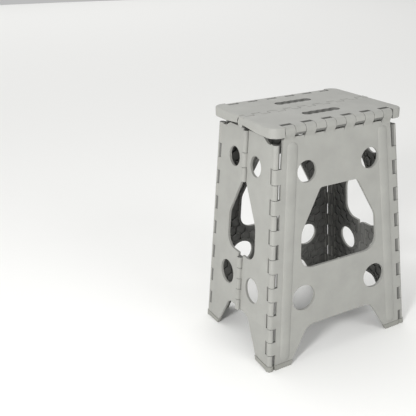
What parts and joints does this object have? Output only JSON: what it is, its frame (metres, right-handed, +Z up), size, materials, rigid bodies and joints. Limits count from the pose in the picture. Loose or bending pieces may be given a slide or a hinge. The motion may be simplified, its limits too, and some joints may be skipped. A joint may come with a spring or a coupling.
{
  "type": "folding step stool",
  "caption": "Tall folding step stool with tapered panel legs, rod-hinged sides that fold inwards and a split top that lifts at the middle.",
  "frame": {"origin": "centre of the stool's footprint on the floor", "axes": "+Z up, +X along the length of the top, -Y towards the front"},
  "size_m": [0.3318, 0.2532, 0.45],
  "materials": {
    "panel_plastic": "moulded plastic, fine texture, warm light grey",
    "soft_foot": "matt grey grip plastic; the separate foot material is inferred",
    "steel_rod": "drawn steel; hidden inside the knuckles, so inferred"
  },
  "bodies": {
    "front_leg": {"front_leg": "panel_plastic", "front_leg_shoe_left": "soft_foot", "front_leg_shoe_right": "soft_foot", "top_rod_front": "steel_rod", "corner_rod_front_left": "steel_rod", "corner_rod_front_right": "steel_rod"},
    "rear_leg": {"rear_leg": "panel_plastic", "rear_leg_shoe_left": "soft_foot", "rear_leg_shoe_right": "soft_foot", "top_rod_rear": "steel_rod", "corner_rod_rear_left": "steel_rod", "corner_rod_rear_right": "steel_rod"},
    "side_left_front": {"side_left_front": "panel_plastic", "side_shoe_left_front": "soft_foot", "side_rod_left_upper": "steel_rod", "side_rod_left_lower": "steel_rod"},
    "side_left_rear": {"side_left_rear": "panel_plastic", "side_shoe_left_rear": "soft_foot"},
    "side_right_front": {"side_right_front": "panel_plastic", "side_shoe_right_front": "soft_foot", "side_rod_right_upper": "steel_rod", "side_rod_right_lower": "steel_rod"},
    "side_right_rear": {"side_right_rear": "panel_plastic", "side_shoe_right_rear": "soft_foot"},
    "top_front": {"top_front": "panel_plastic", "centre_rod": "steel_rod"},
    "top_rear": {"top_rear": "panel_plastic"}
  },
  "joints": [
    {"name": "fold", "type": "hinge", "parent": "front_leg", "child": "side_left_front", "pos_m": [-0.15834, -0.11908, 0], "axis": [-0.0797, -0.06, -0.995], "range_deg": [0, 85.79]},
    {"name": "side_mid_left", "type": "hinge", "parent": "side_left_front", "child": "side_left_rear", "pos_m": [-0.1622, 0, 0], "axis": [0.0818, 0, 0.9966], "range_deg": [0, 171.07]},
    {"name": "corner_rear_left", "type": "hinge", "parent": "side_left_rear", "child": "rear_leg", "pos_m": [-0.15834, 0.11908, 0], "axis": [-0.0797, 0.06, -0.995], "range_deg": [0, 85.8]},
    {"name": "corner_front_right", "type": "hinge", "parent": "front_leg", "child": "side_right_front", "pos_m": [0.15834, -0.11908, 0], "axis": [-0.0797, 0.06, 0.995], "range_deg": [0, 85.8]},
    {"name": "corner_rear_right", "type": "hinge", "parent": "rear_leg", "child": "side_right_rear", "pos_m": [0.15834, 0.11908, 0], "axis": [0.0797, 0.06, -0.995], "range_deg": [0, 85.8]},
    {"name": "top_hinge_front", "type": "hinge", "parent": "front_leg", "child": "top_front", "pos_m": [0, -0.097, 0.441], "axis": [1, 0, 0], "range_deg": [0, 80.42]},
    {"name": "top_hinge_rear", "type": "hinge", "parent": "rear_leg", "child": "top_rear", "pos_m": [0, 0.097, 0.441], "axis": [-1, 0, 0], "range_deg": [0, 80.42]}
  ],
  "couplings": [
    {"joint": "side_mid_left", "follows": "fold", "ratio": 1.9939},
    {"joint": "corner_rear_left", "follows": "fold", "ratio": 1},
    {"joint": "corner_front_right", "follows": "fold", "ratio": 1},
    {"joint": "corner_rear_right", "follows": "fold", "ratio": 1},
    {"joint": "top_hinge_front", "follows": "fold", "ratio": 0.93726},
    {"joint": "top_hinge_rear", "follows": "fold", "ratio": 0.93726}
  ]
}
